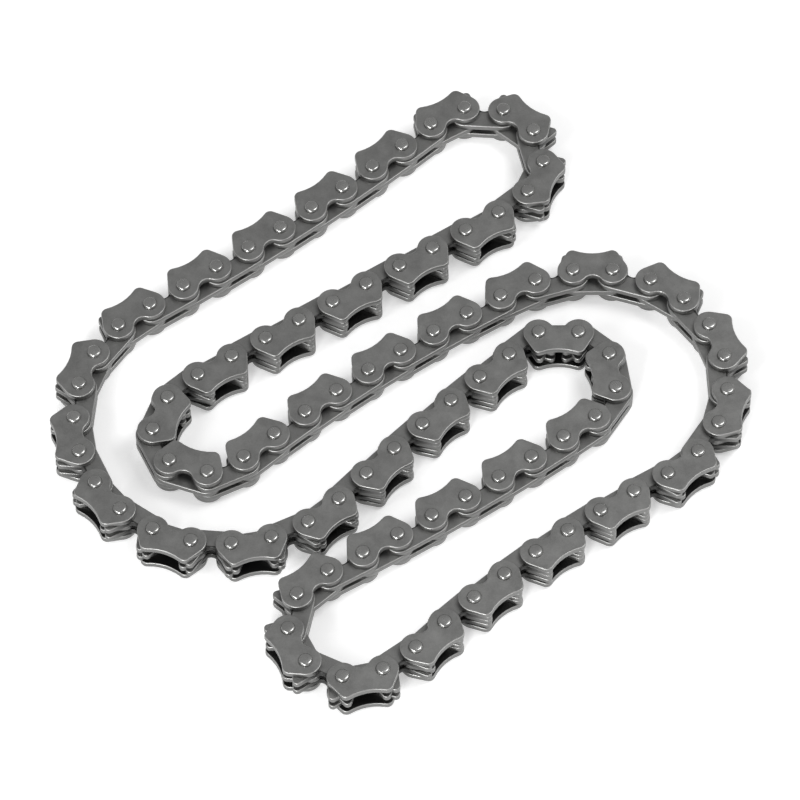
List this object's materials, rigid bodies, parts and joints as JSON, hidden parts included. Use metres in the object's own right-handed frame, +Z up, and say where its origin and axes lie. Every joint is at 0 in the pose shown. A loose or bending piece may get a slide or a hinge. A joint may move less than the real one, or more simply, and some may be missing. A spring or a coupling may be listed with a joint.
{
  "type": "silent chain",
  "caption": "Endless silent chain: toothed plates laced between guide plates on riveted pins, laid flat in a loose serpentine loop, to drive a camshaft from a toothed sprocket.",
  "frame": {"origin": "middle of the loop's box, on the surface that it lies on", "axes": "+Z up along the pins, +X to the right and +Y away from the viewer of the picture"},
  "size_m": [0.111, 0.1144, 0.0067],
  "materials": {
    "guide_plate_steel": "tumbled, dark grey, satin",
    "tooth_plate_steel": "tumbled, dark grey, satin",
    "pin_steel": "ground, satin"
  },
  "bodies": {
    "left_bend": {"left_bend_guide_plates": "guide_plate_steel", "left_bend_tooth_plates": "tooth_plate_steel", "left_bend_pins": "pin_steel"},
    "tooth_link_1": {"tooth_link_1": "tooth_plate_steel"},
    "guide_link_1": {"guide_link_1": "guide_plate_steel"},
    "tooth_link_2": {"tooth_link_2": "tooth_plate_steel"},
    "guide_link_2": {"guide_link_2": "guide_plate_steel"},
    "tooth_link_3": {"tooth_link_3": "tooth_plate_steel"},
    "guide_link_3": {"guide_link_3": "guide_plate_steel"},
    "tooth_link_4": {"tooth_link_4": "tooth_plate_steel"},
    "top_bend": {"top_bend_guide_plates": "guide_plate_steel", "top_bend_tooth_plates": "tooth_plate_steel", "top_bend_pins": "pin_steel"},
    "tooth_link_5": {"tooth_link_5": "tooth_plate_steel"},
    "guide_link_4": {"guide_link_4": "guide_plate_steel"},
    "tooth_link_6": {"tooth_link_6": "tooth_plate_steel"},
    "guide_link_5": {"guide_link_5": "guide_plate_steel"},
    "tooth_link_7": {"tooth_link_7": "tooth_plate_steel"},
    "guide_link_6": {"guide_link_6": "guide_plate_steel"},
    "tooth_link_8": {"tooth_link_8": "tooth_plate_steel"},
    "left_inner_bend": {"left_inner_bend_guide_plates": "guide_plate_steel", "left_inner_bend_tooth_plates": "tooth_plate_steel", "left_inner_bend_pins": "pin_steel"},
    "tooth_link_9": {"tooth_link_9": "tooth_plate_steel"},
    "guide_link_7": {"guide_link_7": "guide_plate_steel"},
    "tooth_link_10": {"tooth_link_10": "tooth_plate_steel"},
    "guide_link_8": {"guide_link_8": "guide_plate_steel"},
    "tooth_link_11": {"tooth_link_11": "tooth_plate_steel"},
    "guide_link_9": {"guide_link_9": "guide_plate_steel"},
    "tooth_link_12": {"tooth_link_12": "tooth_plate_steel"},
    "right_bend": {"right_bend_guide_plates": "guide_plate_steel", "right_bend_tooth_plates": "tooth_plate_steel", "right_bend_pins": "pin_steel"},
    "tooth_link_13": {"tooth_link_13": "tooth_plate_steel"},
    "guide_link_10": {"guide_link_10": "guide_plate_steel"},
    "tooth_link_14": {"tooth_link_14": "tooth_plate_steel"},
    "guide_link_11": {"guide_link_11": "guide_plate_steel"},
    "tooth_link_15": {"tooth_link_15": "tooth_plate_steel"},
    "guide_link_12": {"guide_link_12": "guide_plate_steel"},
    "tooth_link_16": {"tooth_link_16": "tooth_plate_steel"},
    "bottom_bend": {"bottom_bend_guide_plates": "guide_plate_steel", "bottom_bend_tooth_plates": "tooth_plate_steel", "bottom_bend_pins": "pin_steel"},
    "tooth_link_17": {"tooth_link_17": "tooth_plate_steel"},
    "guide_link_13": {"guide_link_13": "guide_plate_steel"},
    "tooth_link_18": {"tooth_link_18": "tooth_plate_steel"},
    "guide_link_14": {"guide_link_14": "guide_plate_steel"},
    "tooth_link_19": {"tooth_link_19": "tooth_plate_steel"},
    "guide_link_15": {"guide_link_15": "guide_plate_steel"},
    "tooth_link_20": {"tooth_link_20": "tooth_plate_steel"},
    "right_inner_bend": {"right_inner_bend_guide_plates": "guide_plate_steel", "right_inner_bend_tooth_plates": "tooth_plate_steel", "right_inner_bend_pins": "pin_steel"},
    "tooth_link_21": {"tooth_link_21": "tooth_plate_steel"},
    "guide_link_16": {"guide_link_16": "guide_plate_steel"},
    "tooth_link_22": {"tooth_link_22": "tooth_plate_steel"},
    "guide_link_17": {"guide_link_17": "guide_plate_steel"},
    "tooth_link_23": {"tooth_link_23": "tooth_plate_steel"},
    "guide_link_18": {"guide_link_18": "guide_plate_steel"},
    "tooth_link_24": {"tooth_link_24": "tooth_plate_steel"}
  },
  "joints": [
    {"name": "strand_1_pin_1", "type": "hinge", "parent": "left_bend", "child": "tooth_link_1", "pos_m": [-0.04014, 0.01503, 0.00333], "axis": [0, 0, 1], "range_deg": [-12, 12]},
    {"name": "strand_1_pin_2", "type": "hinge", "parent": "tooth_link_1", "child": "guide_link_1", "pos_m": [-0.03487, 0.01859, 0.00333], "axis": [0, 0, 1], "range_deg": [-12, 12]},
    {"name": "strand_1_pin_3", "type": "hinge", "parent": "guide_link_1", "child": "tooth_link_2", "pos_m": [-0.02967, 0.02223, 0.00333], "axis": [0, 0, 1], "range_deg": [-12, 12]},
    {"name": "strand_1_pin_4", "type": "hinge", "parent": "tooth_link_2", "child": "guide_link_2", "pos_m": [-0.02453, 0.02596, 0.00333], "axis": [0, 0, 1], "range_deg": [-12, 12]},
    {"name": "strand_1_pin_5", "type": "hinge", "parent": "guide_link_2", "child": "tooth_link_3", "pos_m": [-0.01946, 0.02978, 0.00333], "axis": [0, 0, 1], "range_deg": [-12, 12]},
    {"name": "strand_1_pin_6", "type": "hinge", "parent": "tooth_link_3", "child": "guide_link_3", "pos_m": [-0.01446, 0.03369, 0.00333], "axis": [0, 0, 1], "range_deg": [-12, 12]},
    {"name": "strand_1_pin_7", "type": "hinge", "parent": "guide_link_3", "child": "tooth_link_4", "pos_m": [-0.00952, 0.03768, 0.00333], "axis": [0, 0, 1], "range_deg": [-12, 12]},
    {"name": "strand_1_pin_8", "type": "hinge", "parent": "tooth_link_4", "child": "top_bend", "pos_m": [-0.00465, 0.04176, 0.00333], "axis": [0, 0, 1], "range_deg": [-12, 12]},
    {"name": "strand_2_pin_1", "type": "hinge", "parent": "top_bend", "child": "tooth_link_5", "pos_m": [0.01037, 0.02928, 0.00333], "axis": [0, 0, 1], "range_deg": [-12, 12]},
    {"name": "strand_2_pin_2", "type": "hinge", "parent": "tooth_link_5", "child": "guide_link_4", "pos_m": [0.00505, 0.02582, 0.00333], "axis": [0, 0, 1], "range_deg": [-12, 12]},
    {"name": "strand_2_pin_3", "type": "hinge", "parent": "guide_link_4", "child": "tooth_link_6", "pos_m": [-0.00028, 0.02237, 0.00333], "axis": [0, 0, 1], "range_deg": [-12, 12]},
    {"name": "strand_2_pin_4", "type": "hinge", "parent": "tooth_link_6", "child": "guide_link_5", "pos_m": [-0.00561, 0.01891, 0.00333], "axis": [0, 0, 1], "range_deg": [-12, 12]},
    {"name": "strand_2_pin_5", "type": "hinge", "parent": "guide_link_5", "child": "tooth_link_7", "pos_m": [-0.01093, 0.01545, 0.00333], "axis": [0, 0, 1], "range_deg": [-12, 12]},
    {"name": "strand_2_pin_6", "type": "hinge", "parent": "tooth_link_7", "child": "guide_link_6", "pos_m": [-0.01626, 0.012, 0.00333], "axis": [0, 0, 1], "range_deg": [-12, 12]},
    {"name": "strand_2_pin_7", "type": "hinge", "parent": "guide_link_6", "child": "tooth_link_8", "pos_m": [-0.02159, 0.00854, 0.00333], "axis": [0, 0, 1], "range_deg": [-12, 12]},
    {"name": "strand_2_pin_8", "type": "hinge", "parent": "tooth_link_8", "child": "left_inner_bend", "pos_m": [-0.02692, 0.00509, 0.00333], "axis": [0, 0, 1], "range_deg": [-12, 12]},
    {"name": "strand_3_pin_1", "type": "hinge", "parent": "left_inner_bend", "child": "tooth_link_9", "pos_m": [-0.02002, -0.00942, 0.00333], "axis": [0, 0, 1], "range_deg": [-12, 12]},
    {"name": "strand_3_pin_2", "type": "hinge", "parent": "tooth_link_9", "child": "guide_link_7", "pos_m": [-0.01519, -0.00529, 0.00333], "axis": [0, 0, 1], "range_deg": [-12, 12]},
    {"name": "strand_3_pin_3", "type": "hinge", "parent": "guide_link_7", "child": "tooth_link_10", "pos_m": [-0.01026, -0.0013, 0.00333], "axis": [0, 0, 1], "range_deg": [-12, 12]},
    {"name": "strand_3_pin_4", "type": "hinge", "parent": "tooth_link_10", "child": "guide_link_8", "pos_m": [-0.00522, 0.00256, 0.00333], "axis": [0, 0, 1], "range_deg": [-12, 12]},
    {"name": "strand_3_pin_5", "type": "hinge", "parent": "guide_link_8", "child": "tooth_link_11", "pos_m": [-0.00008, 0.0063, 0.00333], "axis": [0, 0, 1], "range_deg": [-12, 12]},
    {"name": "strand_3_pin_6", "type": "hinge", "parent": "tooth_link_11", "child": "guide_link_9", "pos_m": [0.00515, 0.0099, 0.00333], "axis": [0, 0, 1], "range_deg": [-12, 12]},
    {"name": "strand_3_pin_7", "type": "hinge", "parent": "guide_link_9", "child": "tooth_link_12", "pos_m": [0.01048, 0.01336, 0.00333], "axis": [0, 0, 1], "range_deg": [-12, 12]},
    {"name": "strand_3_pin_8", "type": "hinge", "parent": "tooth_link_12", "child": "right_bend", "pos_m": [0.01589, 0.01668, 0.00333], "axis": [0, 0, 1], "range_deg": [-12, 12]},
    {"name": "strand_4_pin_1", "type": "hinge", "parent": "right_bend", "child": "tooth_link_13", "pos_m": [0.04186, -0.01675, 0.00333], "axis": [0, 0, 1], "range_deg": [-12, 12]},
    {"name": "strand_4_pin_2", "type": "hinge", "parent": "tooth_link_13", "child": "guide_link_10", "pos_m": [0.03644, -0.02007, 0.00333], "axis": [0, 0, 1], "range_deg": [-12, 12]},
    {"name": "strand_4_pin_3", "type": "hinge", "parent": "guide_link_10", "child": "tooth_link_14", "pos_m": [0.03115, -0.02357, 0.00333], "axis": [0, 0, 1], "range_deg": [-12, 12]},
    {"name": "strand_4_pin_4", "type": "hinge", "parent": "tooth_link_14", "child": "guide_link_11", "pos_m": [0.02598, -0.02726, 0.00333], "axis": [0, 0, 1], "range_deg": [-12, 12]},
    {"name": "strand_4_pin_5", "type": "hinge", "parent": "guide_link_11", "child": "tooth_link_15", "pos_m": [0.02094, -0.03112, 0.00333], "axis": [0, 0, 1], "range_deg": [-12, 12]},
    {"name": "strand_4_pin_6", "type": "hinge", "parent": "tooth_link_15", "child": "guide_link_12", "pos_m": [0.01604, -0.03516, 0.00333], "axis": [0, 0, 1], "range_deg": [-12, 12]},
    {"name": "strand_4_pin_7", "type": "hinge", "parent": "guide_link_12", "child": "tooth_link_16", "pos_m": [0.01129, -0.03937, 0.00333], "axis": [0, 0, 1], "range_deg": [-12, 12]},
    {"name": "strand_4_pin_8", "type": "hinge", "parent": "tooth_link_16", "child": "bottom_bend", "pos_m": [0.00669, -0.04375, 0.00333], "axis": [0, 0, 1], "range_deg": [-12, 12]},
    {"name": "strand_5_pin_1", "type": "hinge", "parent": "bottom_bend", "child": "tooth_link_17", "pos_m": [-0.01145, -0.03447, 0.00333], "axis": [0, 0, 1], "range_deg": [-12, 12]},
    {"name": "strand_5_pin_2", "type": "hinge", "parent": "tooth_link_17", "child": "guide_link_13", "pos_m": [-0.00598, -0.03124, 0.00333], "axis": [0, 0, 1], "range_deg": [-12, 12]},
    {"name": "strand_5_pin_3", "type": "hinge", "parent": "guide_link_13", "child": "tooth_link_18", "pos_m": [-0.00057, -0.02792, 0.00333], "axis": [0, 0, 1], "range_deg": [-12, 12]},
    {"name": "strand_5_pin_4", "type": "hinge", "parent": "tooth_link_18", "child": "guide_link_14", "pos_m": [0.00478, -0.02451, 0.00333], "axis": [0, 0, 1], "range_deg": [-12, 12]},
    {"name": "strand_5_pin_5", "type": "hinge", "parent": "guide_link_14", "child": "tooth_link_19", "pos_m": [0.01008, -0.021, 0.00333], "axis": [0, 0, 1], "range_deg": [-12, 12]},
    {"name": "strand_5_pin_6", "type": "hinge", "parent": "tooth_link_19", "child": "guide_link_15", "pos_m": [0.01531, -0.0174, 0.00333], "axis": [0, 0, 1], "range_deg": [-12, 12]},
    {"name": "strand_5_pin_7", "type": "hinge", "parent": "guide_link_15", "child": "tooth_link_20", "pos_m": [0.02048, -0.01372, 0.00333], "axis": [0, 0, 1], "range_deg": [-12, 12]},
    {"name": "strand_5_pin_8", "type": "hinge", "parent": "tooth_link_20", "child": "right_inner_bend", "pos_m": [0.02558, -0.00994, 0.00333], "axis": [0, 0, 1], "range_deg": [-12, 12]},
    {"name": "strand_6_pin_1", "type": "hinge", "parent": "right_inner_bend", "child": "tooth_link_21", "pos_m": [0.02191, 0.00968, 0.00333], "axis": [0, 0, 1], "range_deg": [-12, 12]},
    {"name": "strand_6_pin_2", "type": "hinge", "parent": "tooth_link_21", "child": "guide_link_16", "pos_m": [0.01716, 0.00547, 0.00333], "axis": [0, 0, 1], "range_deg": [-12, 12]},
    {"name": "strand_6_pin_3", "type": "hinge", "parent": "guide_link_16", "child": "tooth_link_22", "pos_m": [0.01248, 0.00118, 0.00333], "axis": [0, 0, 1], "range_deg": [-12, 12]},
    {"name": "strand_6_pin_4", "type": "hinge", "parent": "tooth_link_22", "child": "guide_link_17", "pos_m": [0.00788, -0.0032, 0.00333], "axis": [0, 0, 1], "range_deg": [-12, 12]},
    {"name": "strand_6_pin_5", "type": "hinge", "parent": "guide_link_17", "child": "tooth_link_23", "pos_m": [0.00335, -0.00765, 0.00333], "axis": [0, 0, 1], "range_deg": [-12, 12]},
    {"name": "strand_6_pin_6", "type": "hinge", "parent": "tooth_link_23", "child": "guide_link_18", "pos_m": [-0.00109, -0.01219, 0.00333], "axis": [0, 0, 1], "range_deg": [-12, 12]},
    {"name": "strand_6_pin_7", "type": "hinge", "parent": "guide_link_18", "child": "tooth_link_24", "pos_m": [-0.00546, -0.0168, 0.00333], "axis": [0, 0, 1], "range_deg": [-12, 12]}
  ],
  "couplings": [
    {"joint": "strand_1_pin_2", "follows": "strand_1_pin_1", "ratio": -1},
    {"joint": "strand_1_pin_3", "follows": "strand_1_pin_1", "ratio": -1},
    {"joint": "strand_1_pin_4", "follows": "strand_1_pin_1", "ratio": 1},
    {"joint": "strand_1_pin_5", "follows": "strand_1_pin_1", "ratio": -1},
    {"joint": "strand_1_pin_6", "follows": "strand_1_pin_1", "ratio": 1},
    {"joint": "strand_1_pin_7", "follows": "strand_1_pin_1", "ratio": 1},
    {"joint": "strand_1_pin_8", "follows": "strand_1_pin_1", "ratio": -1},
    {"joint": "strand_2_pin_1", "follows": "strand_1_pin_1", "ratio": 1},
    {"joint": "strand_2_pin_2", "follows": "strand_1_pin_1", "ratio": -1},
    {"joint": "strand_2_pin_3", "follows": "strand_1_pin_1", "ratio": -1},
    {"joint": "strand_2_pin_4", "follows": "strand_1_pin_1", "ratio": 1},
    {"joint": "strand_2_pin_5", "follows": "strand_1_pin_1", "ratio": -1},
    {"joint": "strand_2_pin_6", "follows": "strand_1_pin_1", "ratio": 1},
    {"joint": "strand_2_pin_7", "follows": "strand_1_pin_1", "ratio": 1},
    {"joint": "strand_2_pin_8", "follows": "strand_1_pin_1", "ratio": -1},
    {"joint": "strand_3_pin_2", "follows": "strand_3_pin_1", "ratio": -1},
    {"joint": "strand_3_pin_3", "follows": "strand_3_pin_1", "ratio": -1},
    {"joint": "strand_3_pin_4", "follows": "strand_3_pin_1", "ratio": 1},
    {"joint": "strand_3_pin_5", "follows": "strand_3_pin_1", "ratio": -1},
    {"joint": "strand_3_pin_6", "follows": "strand_3_pin_1", "ratio": 1},
    {"joint": "strand_3_pin_7", "follows": "strand_3_pin_1", "ratio": 1},
    {"joint": "strand_3_pin_8", "follows": "strand_3_pin_1", "ratio": -1},
    {"joint": "strand_4_pin_1", "follows": "strand_3_pin_1", "ratio": 1},
    {"joint": "strand_4_pin_2", "follows": "strand_3_pin_1", "ratio": -1},
    {"joint": "strand_4_pin_3", "follows": "strand_3_pin_1", "ratio": -1},
    {"joint": "strand_4_pin_4", "follows": "strand_3_pin_1", "ratio": 1},
    {"joint": "strand_4_pin_5", "follows": "strand_3_pin_1", "ratio": -1},
    {"joint": "strand_4_pin_6", "follows": "strand_3_pin_1", "ratio": 1},
    {"joint": "strand_4_pin_7", "follows": "strand_3_pin_1", "ratio": 1},
    {"joint": "strand_4_pin_8", "follows": "strand_3_pin_1", "ratio": -1},
    {"joint": "strand_5_pin_2", "follows": "strand_5_pin_1", "ratio": -1},
    {"joint": "strand_5_pin_3", "follows": "strand_5_pin_1", "ratio": -1},
    {"joint": "strand_5_pin_4", "follows": "strand_5_pin_1", "ratio": 1},
    {"joint": "strand_5_pin_5", "follows": "strand_5_pin_1", "ratio": -1},
    {"joint": "strand_5_pin_6", "follows": "strand_5_pin_1", "ratio": 1},
    {"joint": "strand_5_pin_7", "follows": "strand_5_pin_1", "ratio": 1},
    {"joint": "strand_5_pin_8", "follows": "strand_5_pin_1", "ratio": -1},
    {"joint": "strand_6_pin_1", "follows": "strand_5_pin_1", "ratio": 1},
    {"joint": "strand_6_pin_2", "follows": "strand_5_pin_1", "ratio": -1},
    {"joint": "strand_6_pin_3", "follows": "strand_5_pin_1", "ratio": -1},
    {"joint": "strand_6_pin_4", "follows": "strand_5_pin_1", "ratio": 1},
    {"joint": "strand_6_pin_5", "follows": "strand_5_pin_1", "ratio": -1},
    {"joint": "strand_6_pin_6", "follows": "strand_5_pin_1", "ratio": 1},
    {"joint": "strand_6_pin_7", "follows": "strand_5_pin_1", "ratio": 1}
  ]
}
